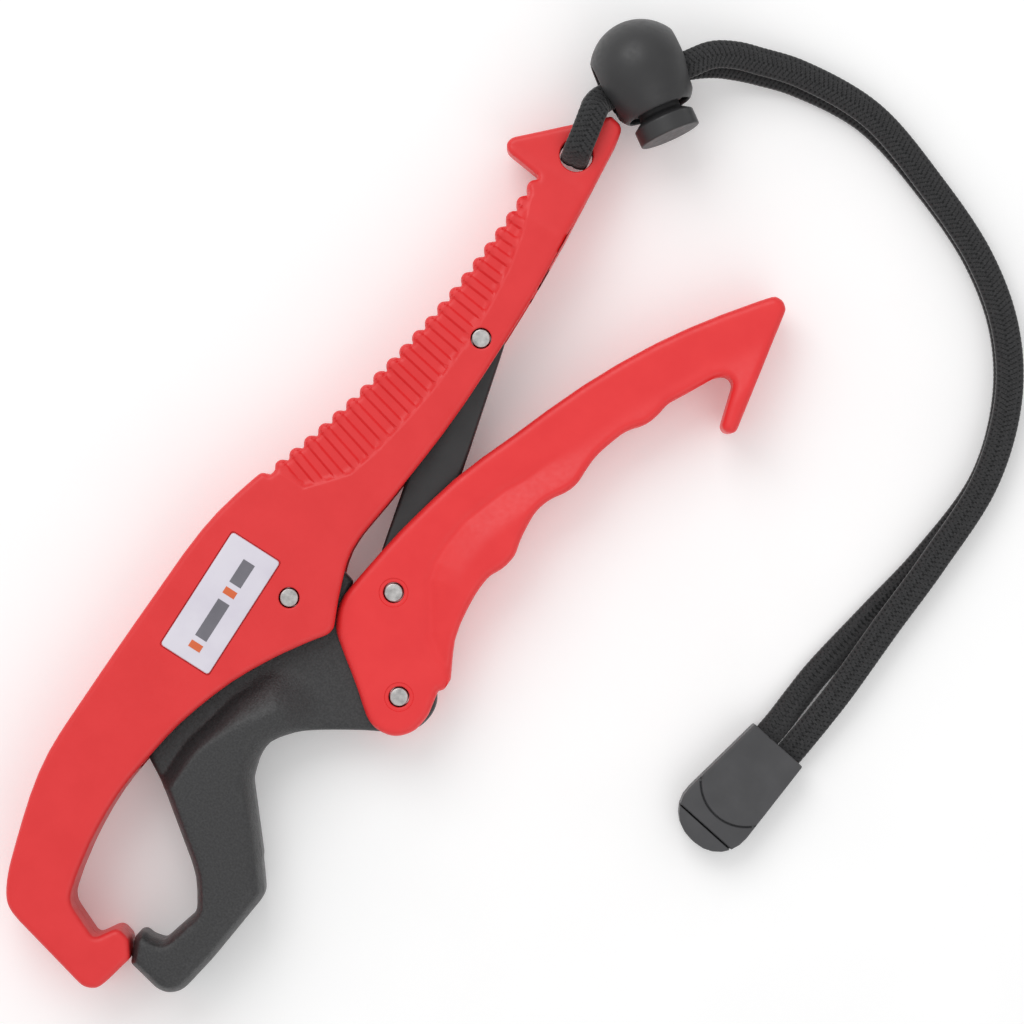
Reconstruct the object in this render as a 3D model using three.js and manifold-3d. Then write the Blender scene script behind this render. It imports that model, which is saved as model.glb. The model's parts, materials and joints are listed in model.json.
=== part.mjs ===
// A floating lip grip: a fixed jaw in one body with the handle, a moving jaw driven by a
// finger lever through a toggle link, and a doubled wrist lanyard with a cord lock and an
// end clip. It lies on its rear face. Millimetres, +Z up, +Y from the jaws to the lanyard.
import * as THREE from "three";
import { mergeVertices } from "three/addons/utils/BufferGeometryUtils.js";
import Module from "manifold-3d";

const wasm = await Module();
wasm.setup();

// ---- driving dimensions ------------------------------------------------------------
const ORIGIN = [20.9, 17]; // the frame's origin, seen from the jaw pivot
const THICK = 20; // rear face to front face of the body
const MID = THICK / 2;
const GAP = 0.3; // clearance between touching pieces
const CHEEK = 3.4; // body wall on each side of the slot
const SLOT = [CHEEK, THICK - CHEEK];
const HOLLOW = [2.6, THICK - 2.6]; // inside of the float hollows
const PLATE = [6.3, 13.7]; // jaw arm and toggle link, inside the lever's channel
const LEVER = [3.8, 16.2]; // lever where it enters the body's slot
const SWELL = [1.8, 18.2]; // lever where the fingers hold it
const CHANNEL = [6, 14]; // lever channel that holds the link and the jaw arm
const TINE = [0.5, 19.5]; // moving jaw where it is as thick as the body
const THROUGH = [-1, THICK + 1];
const TAPER = { from: 108, to: 121, depth: 4 }; // the body thins on both faces

const JAW_PIVOT = [0, 0];
const LEVER_PIVOT = [34.77, -7.62];
const LINK_LEVER = [21.07, 13.51];
const LINK_BODY = [8.79, 76.98];
const PIN_R = 2.2;
const BORE_R = PIN_R + GAP;
const PIN_SUNK = 0.15;
const LINK = { half: 6.1, end: 5.2, play: 0.55 }; // play: round the lever's pin

const LANYARD_HOLE = { at: [6.5, 126.8], r: 4 };
const LABEL = { at: [-13.6, -9.4], size: [13.6, 32.1], turn: -2.7, thick: 0.6, sunk: 0.6 };
const SPRING = { r: 5, wire: 0.32, low: 14.3, turns: 2.25, rise: 1.69 };
const CORD = { width: 6.6, thick: 3.2, steps: 42 };

// ---- materials ---------------------------------------------------------------------
const finish = (color, roughness, metalness = 0) =>
  new THREE.MeshStandardMaterial({ color, roughness, metalness });
const RED = 0xe43f40;
const LEVER_RED = 0xee4a4d;
const BLACK = 0x3a3a3a;
const STEEL = 0xc9c9cc;

// ---- outlines ----------------------------------------------------------------------
const V2 = ([x, y]) => new THREE.Vector2(x, y);

// a smooth stretch through a few points, `steps` straight pieces long
const smooth = (points, steps) => new THREE.SplineCurve(points.map(V2)).getPoints(steps);

// corners [x, y, radius] joined by straight lines, each corner rounded to its radius;
// an open run keeps its two end points as they are
function rounded(corners, closed = true) {
  const out = [];
  corners.forEach(([x, y, r], i) => {
    const end = !closed && (i === 0 || i === corners.length - 1);
    if (!r || end) {
      out.push(V2([x, y]));
      return;
    }
    const here = V2([x, y]);
    const from = V2(corners.at(i - 1)).sub(here).normalize();
    const to = V2(corners[(i + 1) % corners.length]).sub(here).normalize();
    const half = Math.acos(THREE.MathUtils.clamp(from.dot(to), -1, 1)) / 2;
    const inward = from.clone().add(to).normalize();
    const centre = inward.multiplyScalar(r / Math.sin(half)).add(here);
    const turn = Math.sign(from.x * to.y - from.y * to.x);
    const start = from.multiplyScalar(r / Math.tan(half)).add(here);
    const sweep = (2 * half - Math.PI) * turn;
    const steps = Math.max(2, Math.ceil(Math.abs(sweep) / 0.32));
    for (let k = 0; k <= steps; k++) {
      out.push(start.clone().rotateAround(centre, (sweep * k) / steps));
    }
  });
  return out;
}

const circle = ([x, y], r, steps) =>
  Array.from({ length: steps }, (_, k) => {
    const a = (2 * Math.PI * k) / steps;
    return V2([x + r * Math.cos(a), y + r * Math.sin(a)]);
  });

// ---- solids ------------------------------------------------------------------------
function slab(points, [low, high]) {
  const options = { depth: high - low, bevelEnabled: false };
  return new THREE.ExtrudeGeometry(new THREE.Shape(points), options).translate(0, 0, low);
}

const drum = (at, r, span, steps = 28) => slab(circle(at, r, steps), span);

// a turned piece about Z, from [radius, height] points that start and end on the axis
const turned = (profile, steps = 28) =>
  new THREE.LatheGeometry(profile.map(V2), steps).rotateX(Math.PI / 2);

function solid(geometry) {
  const bare = geometry.clone();
  bare.deleteAttribute("normal");
  bare.deleteAttribute("uv");
  const merged = mergeVertices(bare, 1e-4);
  return new wasm.Manifold(new wasm.Mesh({
    numProp: 3,
    vertProperties: Float32Array.from(merged.attributes.position.array),
    triVerts: Uint32Array.from(merged.index.array),
  }));
}

function geometryOf(manifold) {
  const mesh = manifold.getMesh();
  const geometry = new THREE.BufferGeometry();
  geometry.setAttribute("position", new THREE.BufferAttribute(mesh.vertProperties, 3));
  geometry.setIndex(new THREE.BufferAttribute(mesh.triVerts, 1));
  return geometry;
}

const join = (...parts) => parts.map(solid).reduce((a, b) => a.add(b));
const cut = (base, ...tools) => tools.map(solid).reduce((a, b) => a.subtract(b), base);

// ---- the assembly ------------------------------------------------------------------
const grip = new THREE.Group();
grip.position.set(-ORIGIN[0], -ORIGIN[1], 0);

function place(parent, name, shape, material) {
  const mesh = new THREE.Mesh(shape.isBufferGeometry ? shape : geometryOf(shape), material);
  mesh.name = name;
  parent.add(mesh);
}

// ---- body: two shells round the slot and the float hollows --------------------------
const RIBS = { count: 21, centre: [-276.9, 127.8], r: 277, depth: 1.7 };
const ribAngle = ([x, y]) => Math.atan2(y - RIBS.centre[1], x - RIBS.centre[0]);
const RIB_FIRST = ribAngle([-18.9, 27]);
const RIB_STEP = (ribAngle([-0.2, 115]) - RIB_FIRST) / (RIBS.count - 1);

// finger ribs along the back of the handle: round crests and narrow valleys
function ribs() {
  const profile = [[-0.28, 0.25], [0, 0], [0.28, 0.25], [0.5, 1]];
  const out = [];
  for (let k = 0; k < RIBS.count; k++) {
    for (const [phase, drop] of profile) {
      const a = RIB_FIRST + RIB_STEP * (k + phase);
      const r = RIBS.r + RIBS.depth * drop;
      out.push(V2([RIBS.centre[0] + r * Math.cos(a), RIBS.centre[1] + r * Math.sin(a)]));
    }
  }
  return out;
}

const BODY = [
  // outside of the fixed jaw, from its heel up to the thumb stop
  ...smooth([[-26, -89.5], [-28.6, -79.5], [-30.8, -69], [-31.6, -59], [-30.9, -47],
    [-29.7, -31], [-28.4, -16], [-26.9, 0], [-24.9, 10.5], [-21.9, 20]], 16),
  ...rounded([[-21.9, 20], [-20.8, 22.9, 1.6], [-18.8, 23.2, 0.5], [-18.2, 25.1]], false).slice(1),
  ...ribs(),
  // line hook and lanyard end
  ...rounded([[1, 117.2], [0.9, 117.9, 0.4], [-12.2, 120, 2.3], [9, 139.2, 1.5],
    [12.8, 138.4, 2.2], [13.5, 134]], false),
  // inner edge of the handle, down to the nose beside the lever
  ...smooth([[13.5, 134], [14.5, 108], [14.4, 86], [12.9, 58], [9.6, 33.5], [7.3, 18.5],
    [9.5, 8.3], [11.9, 1.6]], 22).slice(1),
  ...rounded([[11.9, 1.6], [13.3, -2, 3.4], [9.6, -6.6]], false).slice(1),
  // edge along the moving jaw, then the inside of the fixed jaw
  ...smooth([[9.6, -6.6], [3.9, -14.6], [-2.2, -25.3], [-7.2, -38], [-9.9, -49], [-11.9, -61],
    [-12, -73], [-10.9, -82.9]], 18).slice(1),
  ...rounded([[-10.9, -82.9], [-9.5, -89.7, 5], [0.3, -94.4, 1.6], [4, -89.2, 1.9],
    [7.6, -90.3, 2], [10.2, -94.3, 1.2], [6.7, -106.6, 4.4], [-22.7, -98.2, 9],
    [-26, -89.5]], false).slice(1, -1),
];

// room for the jaw arm, the link and the edge of the lever, open towards the lever
const SLOT_OUTLINE = rounded([[-15.8, -54], [-14.6, 12, 12], [-5, 19, 6], [-1.5, 30, 8],
  [1.6, 56, 30], [2.2, 84.2, 4], [11, 84.2, 2], [11.6, 100], [30, 100], [30, -54]]);
const LOWER_HOLLOW = rounded([[-13.6, 32, 2], [-4.4, 32, 2], [-1, 57, 20], [-0.8, 76, 1],
  [-2.9, 76, 1], [-9.7, 47, 30]]);
const UPPER_HOLLOW = rounded([[2, 87.4, 2], [9.4, 87.4, 2], [10.2, 103, 5], [9.4, 112.6, 2],
  [4.6, 112.6, 2], [2.4, 99, 20]]);
const JAW_HOLLOW = rounded([[-26.6, -16, 3], [-17.6, -16, 3], [-18.4, -49, 12], [-15, -57, 6],
  [-15, -74, 30], [-13.6, -91, 6], [-3, -96.2, 1.5], [-4.6, -100.9, 1.5],
  [-20, -94.6, 7], [-25.5, -80, 20], [-28.6, -60, 20]]);

// wedge that thins the handle towards the lanyard hole, drawn in (y, z) and stood up
function taper(front, shift = 0) {
  const { from, to, depth } = TAPER;
  const face = front ? THICK - shift : shift;
  const into = front ? face - depth : face + depth;
  const out = front ? THICK + 5 : -5;
  const side = [[from, face], [to, into], [150, into], [150, out], [from, out]];
  const ordered = front ? side : side.reverse();
  const wedge = slab(ordered.map(V2), [-40, 40]);
  return wedge.applyMatrix4(new THREE.Matrix4().set(0, 0, 1, 0, 1, 0, 0, 0, 0, 1, 0, 0, 0, 0, 0, 1));
}

function labelShape([wide, long], [low, high]) {
  const [x, y] = [wide / 2, long / 2];
  const plate = slab(rounded([[-x, -y, 0.7], [x, -y, 0.7], [x, y, 0.7], [-x, y, 0.7]]), [low, high]);
  plate.rotateZ(THREE.MathUtils.degToRad(LABEL.turn));
  return plate.translate(...LABEL.at, 0);
}

function shell(span, front) {
  const hollows = [LOWER_HOLLOW, UPPER_HOLLOW, JAW_HOLLOW].map((shape) => slab(shape, HOLLOW));
  hollows.push(slab(SLOT_OUTLINE, SLOT));
  const bores = [JAW_PIVOT, LINK_BODY].map((at) => drum(at, BORE_R, THROUGH));
  const lanyard = drum(LANYARD_HOLE.at, LANYARD_HOLE.r, THROUGH);
  const shape = cut(solid(slab(BODY, span)), ...hollows, ...bores, lanyard, taper(front));
  if (!front) return shape;
  const seat = LABEL.size.map((side) => side + 2 * GAP);
  return cut(shape, labelShape(seat, [THICK - LABEL.sunk, THICK + 1]));
}

place(grip, "body_front_shell", shell([MID + GAP / 2, THICK], true), finish(RED, 0.42));
place(grip, "body_rear_shell", shell([0, MID - GAP / 2], false), finish(RED, 0.42));

// float cores: the hollows' outlines drawn in by the clearance
const CORE = [HOLLOW[0] + GAP, HOLLOW[1] - GAP];
const LOWER_CORE = rounded([[-12.8, 32.6, 2], [-5, 32.6, 2], [-1.6, 57, 20], [-1.5, 74.6, 0.4],
  [-2.6, 74.6, 0.4], [-9, 47, 30]]);
const UPPER_CORE = rounded([[2.7, 88, 2], [8.8, 88, 2], [9.6, 103, 5], [8.8, 112, 1.5],
  [5.2, 112, 1.5], [3, 99, 20]]);
const JAW_CORE = rounded([[-26, -16.6, 3], [-18.2, -16.6, 3], [-19, -49, 12], [-15.6, -57.2, 6],
  [-15.6, -74, 30], [-14.2, -91.6, 6], [-4.2, -96.6, 1.2], [-5.4, -99.8, 1.2],
  [-19.6, -93.8, 7], [-24.9, -79.8, 20], [-28, -60, 20]]);
const foam = finish(0xe8e6df, 0.95);
const taperGap = HOLLOW[0] + GAP;
place(grip, "handle_float_core_lower", solid(slab(LOWER_CORE, CORE)), foam);
place(grip, "handle_float_core_upper", cut(solid(slab(UPPER_CORE, CORE)), taper(true, taperGap),
  taper(false, taperGap)), foam);
place(grip, "jaw_float_core", solid(slab(JAW_CORE, CORE)), foam);

const LABEL_BASE = THICK - LABEL.sunk + GAP;
place(grip, "label_plate",
  solid(labelShape(LABEL.size, [LABEL_BASE, LABEL_BASE + LABEL.thick])), finish(0xdedae4, 0.25));

// ---- moving jaw: a thin arm in the slot and a tine as thick as the body --------------
const ARM = [
  ...rounded([[-12.4, -6], [-11.6, 11.2, 10], [4, 13.3, 7], [11.2, 10.9, 1.2], [13, 3.2, 3],
    [24.5, 2.6, 5], [38.2, 1.2]], false),
  ...smooth([[38.2, 1.2], [42.4, -2.4], [43.8, -7], [42.2, -12.4], [37.4, -16.1], [32.2, -18.6],
    [24.3, -23], [17.7, -27.3], [13.7, -32], [12.8, -36.8], [14.2, -42.7]], 22).slice(1),
  ...rounded([[14.2, -42.7], [25.6, -57.4], [18.8, -69, 3], [-10.3, -50.6, 2], [-13.2, -46.6, 3],
    [-12.4, -6]], false).slice(1, -1),
];
const TINE_OUTLINE = [
  ...rounded([[-3.4, -54.8], [-2.7, -43, 20], [2.2, -29.5, 14], [7.6, -20.6, 4],
    [14.6, -20.6, 4], [17.7, -27.3]], false),
  ...smooth([[17.7, -27.3], [13.7, -32], [12.8, -36.8], [14.2, -42.7], [21.4, -52.2],
    [28, -61.2]], 14).slice(1),
  ...rounded([[28, -61.2], [30.7, -65.1, 4.6], [27.5, -84.4, 60], [24.1, -98.9, 5.6],
    [10.9, -95.5, 1.2], [8.6, -89.9, 1.6], [9, -86.7, 1.7], [11.8, -87.4, 2.5],
    [15.1, -86.8, 1.5], [18.5, -76.7, 3.5], [14.2, -69.3, 20], [-3.4, -54.8]], false).slice(1, -1),
];
const jawBores = [JAW_PIVOT, LEVER_PIVOT].map((at) => drum(at, BORE_R, THROUGH));
place(grip, "moving_jaw", cut(join(
  slab(ARM, PLATE),
  slab(TINE_OUTLINE, TINE),
  drum(JAW_PIVOT, 6.8, [SLOT[0] + GAP, PLATE[0] + 0.5]), // rear thrust boss
  drum(JAW_PIVOT, 3.9, [PLATE[1] - 0.5, SLOT[1] - GAP]), // front boss, inside the spring
), ...jawBores), finish(BLACK, 0.55));

// ---- finger lever: two cheeks and a web on the finger side --------------------------
const FINGERS = [[62.2, 97], [58.2, 90.2], [55.7, 86], [55, 83], [53.6, 79.2], [50.8, 76],
  [49.2, 73], [47.1, 67], [46.5, 62.6], [46.3, 58.6], [45, 55.2], [42.5, 51.6], [41, 47],
  [41.2, 40], [41.9, 35.8], [40.9, 31.6], [39.1, 28.2], [38.4, 22], [39.3, 12], [42.4, 4.4]];
const LEVER_OUTLINE = [
  ...smooth([[11, 7.4], [13.3, 19.5], [16, 31], [20.8, 46.5], [27, 60.5], [34.5, 77.3],
    [43, 92.8], [52, 106], [60.5, 116.4]], 14),
  ...rounded([[60.5, 116.4], [68.2, 125.4, 2.9], [73.4, 86.7, 1.9], [69.6, 87.2, 1.6],
    [66.4, 100.4, 2.2], [62.2, 97]], false).slice(1),
  ...smooth(FINGERS, 44).slice(1),
  ...rounded([[42.4, 4.4], [43.5, 2, 1], [43.3, -0.6, 0.4], [42.3, -1.8, 0.4], [43.1, -8]],
    false).slice(1),
  ...smooth([[43.1, -8], [42.1, -12.8], [38.8, -16.3], [34.6, -17.1], [30.6, -15.8],
    [24.8, -10.7], [17, -4.4], [13.1, -0.7], [11.2, 3.8]], 18).slice(1),
];
// the swell under the fingers stays clear of the body's slot at full squeeze
const SWELL_OUTLINE = [
  ...smooth([[39.4, 7], [33.5, 10.5], [29.8, 16], [27, 25], [28.3, 38], [33.2, 49.5],
    [40, 64], [47, 80], [57, 97.5], [65, 108]], 16),
  ...rounded([[65, 108], [68, 117, 1.4], [71.8, 91.4, 0.9], [70.1, 91.4, 0.7], [67.2, 102.9, 2],
    [61, 98.5]], false).slice(1),
  ...smooth([[61, 98.5], ...FINGERS.slice(1).map(([x, y]) => [x - 0.7, y + 0.4])], 40).slice(1),
];
// the channel is open towards the body and round the lever pivot
const CHANNEL_OUTLINE = [
  ...rounded([[5, 88], [5, -25], [50, -25], [50, -2], [43.6, -2]], false),
  ...rounded([[43.6, -2], [38.4, 4.6, 2], [35.2, 14, 6], [34.4, 24, 6], [36.8, 36, 8],
    [37, 47, 8], [41.6, 60, 8], [44.4, 72, 8], [46.4, 80, 3], [38, 88]], false).slice(1),
];
const leverBores = [LEVER_PIVOT, LINK_LEVER].map((at) => drum(at, BORE_R, THROUGH));
place(grip, "lever_grip", cut(
  join(slab(LEVER_OUTLINE, LEVER), slab(SWELL_OUTLINE, SWELL)),
  slab(CHANNEL_OUTLINE, CHANNEL), ...leverBores,
), finish(LEVER_RED, 0.42));

// ---- toggle link, drawn along +Y from the body pin and turned into place -------------
const linkAxis = V2(LINK_LEVER).sub(V2(LINK_BODY));
const linkLength = linkAxis.length();
const linkShape = rounded([[-5.7, -5.7, 5.6], [5.7, -5.7, 5.6], [LINK.half, linkLength * 0.4, 40],
  [LINK.half, linkLength - 9, 6], [LINK.end, linkLength + LINK.end, LINK.end - 0.1],
  [-LINK.end, linkLength + LINK.end, LINK.end - 0.1], [-LINK.half, linkLength - 9, 6],
  [-LINK.half, linkLength * 0.4, 40]]);
const linkTurn = linkAxis.angle() - Math.PI / 2;
const linkOutline = linkShape.map((p) => p.rotateAround(V2([0, 0]), linkTurn).add(V2(LINK_BODY)));
place(grip, "toggle_link", cut(
  solid(slab(linkOutline, PLATE)),
  drum(LINK_BODY, BORE_R, THROUGH),
  drum(LINK_LEVER, PIN_R + LINK.play, THROUGH),
), finish(0x343434, 0.5));

// thin steel sleeves that keep the link in the middle of the body's slot
for (const [name, low, high] of [["link_sleeve_rear", SLOT[0], PLATE[0]],
  ["link_sleeve_front", PLATE[1], SLOT[1]]]) {
  const tube = cut(solid(drum(LINK_BODY, 3, [low + GAP, high - GAP])), drum(LINK_BODY, BORE_R, THROUGH));
  place(grip, name, tube, finish(STEEL, 0.4, 0.9));
}

// ---- pins: flush, with a small chamfer at each end -----------------------------------
const CHAMFER = 0.35;
for (const [name, at, span] of [
  ["jaw_pivot_pin", JAW_PIVOT, [0, THICK]],
  ["link_body_pin", LINK_BODY, [0, THICK]],
  ["lever_pivot_pin", LEVER_PIVOT, LEVER],
  ["link_lever_pin", LINK_LEVER, LEVER],
]) {
  const [low, high] = [span[0] + PIN_SUNK, span[1] - PIN_SUNK];
  const profile = [[0, low], [PIN_R - CHAMFER, low], [PIN_R, low + CHAMFER],
    [PIN_R, high - CHAMFER], [PIN_R - CHAMFER, high], [0, high]];
  place(grip, name, turned(profile).translate(...at, 0), finish(STEEL, 0.35, 0.9));
}

// ---- return spring: a flat torsion coil round the jaw's front boss --------------------
class Coil extends THREE.Curve {
  constructor(r, low, rise, turns, leg = 0) {
    super();
    Object.assign(this, { r, low, rise, turns, leg });
  }

  getPoint(t, target = new THREE.Vector3()) {
    const a = 2 * Math.PI * this.turns * t;
    const r = this.r + this.leg * Math.max(0, (t - 0.93) / 0.07);
    return target.set(r * Math.cos(a), r * Math.sin(a), this.low + this.rise * t);
  }
}
const wireShape = (r, sides) => new THREE.Shape(circle([0, 0], r, sides));
function spring(curve, wire, steps) {
  return new THREE.ExtrudeGeometry(wireShape(wire, 6), { steps, extrudePath: curve });
}
place(grip, "return_spring", spring(
  new Coil(SPRING.r, SPRING.low, SPRING.rise, SPRING.turns, 1.4), SPRING.wire, 40,
), finish(STEEL, 0.35, 0.9));

// ---- cord lock: a ball with a cord slot and a sprung plunger across it ----------------
// local X runs along the cord, local -Y out through the button
const BALL = { at: [9.6, 152.7, 12.35], turn: 54, tilt: 5, r: 12.3, facet: 10.7 };
const CORD_SLOT = { r: 5.4, near: -5.5, far: 8.8 }; // a long hole, off centre to the button
const BORE = { r: 7.1, end: 8.7, mouth: 7.7, mouthDepth: 8.6, rim: 11.1 };
const PLUNGER = { r: 6.8, inner: 5.4, outer: 10, neck: 5.25, disc: 7.6, discAt: 12.2, end: 17.7 };
const PINCH = { near: -1.1, far: 9.3, high: 3.9 }; // the plunger's own slot for the cords

const lock = new THREE.Group();
lock.position.set(...BALL.at);
lock.rotation.set(THREE.MathUtils.degToRad(-BALL.tilt), 0, THREE.MathUtils.degToRad(BALL.turn), "ZXY");
grip.add(lock);

const outwards = (geometry) => geometry.rotateX(Math.PI / 2); // Z becomes -Y
const alongCord = (geometry) => outwards(geometry).rotateZ(-Math.PI / 2); // and X becomes -Y too

// round at the back, a little fuller than a sphere towards the button's mouth
const ballBack = Array.from({ length: 15 }, (_, k) => {
  const a = (Math.PI * 0.58 * k) / 14;
  return [BALL.r * Math.sin(a), -BALL.r * Math.cos(a)];
});
const ballProfile = [...ballBack, [11.3, 5.4], [10.5, 7.4], [9.7, 9.1], [8.9, 10.3], [8.2, BORE.rim],
  [0, BORE.rim]];
const flats = [-1, 1].map((side) =>
  new THREE.BoxGeometry(6, 30, 30).translate(side * (BALL.facet + 3), 0, 0));
const slotEnds = [CORD_SLOT.near, CORD_SLOT.far];
const cordSlot = slab(rounded([[slotEnds[0], -CORD_SLOT.r, 5.3], [slotEnds[1], -CORD_SLOT.r, 5.3],
  [slotEnds[1], CORD_SLOT.r, 5.3], [slotEnds[0], CORD_SLOT.r, 5.3]]), [-15, 15]);
place(lock, "lock_ball", cut(solid(outwards(turned(ballProfile, 40))), ...flats,
  alongCord(cordSlot),
  outwards(drum([0, 0], BORE.r, [-BORE.end, 15], 32)),
  outwards(drum([0, 0], BORE.mouth, [BORE.mouthDepth, 15], 32))), finish(0x3d3d3d, 0.4));

const plungerProfile = [[0, -PLUNGER.inner], [PLUNGER.r, -PLUNGER.inner], [PLUNGER.r, PLUNGER.outer],
  [PLUNGER.neck, PLUNGER.outer], [PLUNGER.neck, PLUNGER.discAt], [PLUNGER.disc, PLUNGER.discAt + 1.4],
  [PLUNGER.disc, PLUNGER.end - 0.6], [PLUNGER.disc - 0.6, PLUNGER.end], [0, PLUNGER.end]];
const pinchSlot = new THREE.BoxGeometry(30, PINCH.far - PINCH.near, 2 * PINCH.high)
  .translate(0, -(PINCH.near + PINCH.far) / 2, 0);
place(lock, "lock_plunger", cut(solid(outwards(turned(plungerProfile, 32))), pinchSlot,
  outwards(drum([0, 0], 3.2, [-PLUNGER.inner - 1, -PLUNGER.inner + 0.8], 20))), finish(0x3f3f3f, 0.45));

const lockCoil = new Coil(2.4, -BORE.end + GAP + 0.3, 2.7, 3);
place(lock, "lock_spring", outwards(spring(lockCoil, 0.3, 42)), finish(STEEL, 0.35, 0.9));

// ---- cord end clip: a base and a lid hinged across its round end -----------------------
// local +Y runs from the mouth to the round end
const CLIP = { mouth: [120.5, 27.9], turn: 168.1, length: 31.2, thick: 8, hinge: 26.7 };
const CORD_ROOM = { half: 7.05, depth: 13, low: 1.3, high: 6.1 };
const CLIP_MID = CLIP.thick / 2;
const CLIP_OUTLINE = rounded([[-7.8, 0, 0.5], [7.8, 0, 0.5], [9.9, CLIP.length, 8.6],
  [-9.9, CLIP.length, 8.6]]);

const clip = new THREE.Group();
clip.position.set(...CLIP.mouth, 0);
clip.rotation.z = THREE.MathUtils.degToRad(CLIP.turn);
grip.add(clip);

// a block across the whole clip, between two distances from the mouth and two heights
function across([near, far], [low, high], half = 20) {
  return new THREE.BoxGeometry(2 * half, far - near, high - low)
    .translate(0, (near + far) / 2, (low + high) / 2);
}
const cordRoom = across([-5, CORD_ROOM.depth], [CORD_ROOM.low, CORD_ROOM.high], CORD_ROOM.half);
const lidSpace = across([-5, CLIP.hinge + GAP / 2], [CLIP_MID - GAP / 2, CLIP.thick + 1]);
place(clip, "clip_base", cut(solid(slab(CLIP_OUTLINE, [0, CLIP.thick])), lidSpace, cordRoom),
  finish(0x4d4d4d, 0.5));
place(clip, "clip_lid", cut(
  solid(slab(CLIP_OUTLINE, [CLIP_MID + GAP / 2, CLIP.thick])),
  across([CLIP.hinge - GAP / 2, 40], [0, CLIP.thick + 1]), cordRoom,
), finish(0x4d4d4d, 0.5));

// ---- lanyard: one flat cord doubled through the hole, drawn as its two strands ----------
// each strand starts inside the lanyard hole, runs through the ball and ends in the clip;
// its flat side stays level, whichever way it heads
class FlatRoute extends THREE.CatmullRomCurve3 {
  // equal shares between the route's points, so that tight bends get more steps
  getPointAt(u, target) {
    return this.getPoint(u, target);
  }

  computeFrenetFrames(steps) {
    const up = new THREE.Vector3(0, 0, 1);
    const tangents = Array.from({ length: steps + 1 }, (_, k) => this.getTangent(k / steps));
    const sides = tangents.map((tangent) => new THREE.Vector3().crossVectors(up, tangent));
    // where the strand stands upright in the hole, it keeps the side of the stretch after it
    for (let k = steps - 1; k >= 0; k--) {
      if (sides[k].length() < 0.35) sides[k].copy(sides[k + 1]);
    }
    const normals = sides.map((side) => side.normalize());
    const binormals = tangents.map((t, k) => new THREE.Vector3().crossVectors(t, normals[k]));
    return { tangents, normals, binormals };
  }
}

const ROUTES = {
  lanyard_front_strand: [
    [6.5, 125.9, 10.3], [6.5, 125.9, 13], [6.45, 126.4, 15.6], [6.2, 128.3, 17.9], [5.8, 131.4, 18.7],
    [5.3, 134.8, 18.8], [4.8, 138, 18.1], [4.8, 140.3, 16.3], [5.8, 142.6, 14.6],
    [8.5, 146.5, 14.25], [11.6, 150.8, 14.25], [15.1, 154.8, 14.25], [18.7, 159.3, 13.8],
    [22.8, 164.6, 11.9], [27.8, 167.6, 9.8], [33.4, 169.4, 7.9], [43.6, 171.9, 6], [63.2, 172, 5.4],
    [84.4, 164.5, 5.4], [104.1, 154.7, 5.4], [117.9, 143, 5.4], [127, 128.6, 5.4],
    [132, 109, 5.4], [130.9, 85.3, 5.4], [128.8, 66.2, 5.4], [126.9, 46.7, 5.4],
    [125.9, 39.4, 5], [124.7, 31.5, 4], [123.8, 26.6, 3.7], [121.6, 16.4, 3.7],
  ],
  lanyard_rear_strand: [
    [6.5, 125.9, 9.7], [6.5, 125.9, 7], [6.45, 126.4, 4.4], [6.2, 128.3, 2.3], [5.8, 131.4, 1.9],
    [5.3, 134.8, 1.8], [4.8, 137.9, 1.9], [4.2, 140, 5.8], [5.2, 142.5, 10.2],
    [8.5, 146.5, 10.5], [11.6, 150.8, 10.5], [14.9, 155, 10.6], [18.6, 159, 10.1],
    [23.9, 163, 8.4], [29.2, 165.6, 6.1], [34.8, 167.6, 4.2], [44, 170, 2.3], [63, 170.8, 1.7],
    [84.3, 164.1, 1.7], [103.9, 154.5, 1.7], [117.7, 142.9, 1.7], [126.8, 128.5, 1.7],
    [131.8, 109, 1.7], [129.2, 85.5, 1.7], [124.8, 67, 1.7], [120.2, 47.7, 1.7],
    [119.1, 40.6, 2], [118, 33, 3.2], [117.1, 28.4, 3.7], [114.9, 17.9, 3.7],
  ],
};
const HALF_STRAIGHT = (CORD.width - CORD.thick) / 2;
const cordSection = new THREE.Shape(circle([0, 0], CORD.thick / 2, 10).map(({ x, y }) =>
  V2([x + Math.sign(x) * HALF_STRAIGHT, y])));
for (const [name, route] of Object.entries(ROUTES)) {
  const extrudePath = new FlatRoute(route.map((at) => new THREE.Vector3(...at)));
  place(grip, name, new THREE.ExtrudeGeometry(cordSection, { steps: CORD.steps, extrudePath }),
    finish(0x292929, 0.9));
}

export default grip;
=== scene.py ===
"""The looks of a floating lip grip: moulded shells, a finger lever, a grained jaw, a knitted lanyard,
a ball cord lock and an end clip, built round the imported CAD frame."""

import json
import math

import bmesh
import bpy
import numpy as np
from mathutils import Matrix, Vector
from mathutils.bvhtree import BVHTree
from mathutils.geometry import delaunay_2d_cdt


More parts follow.
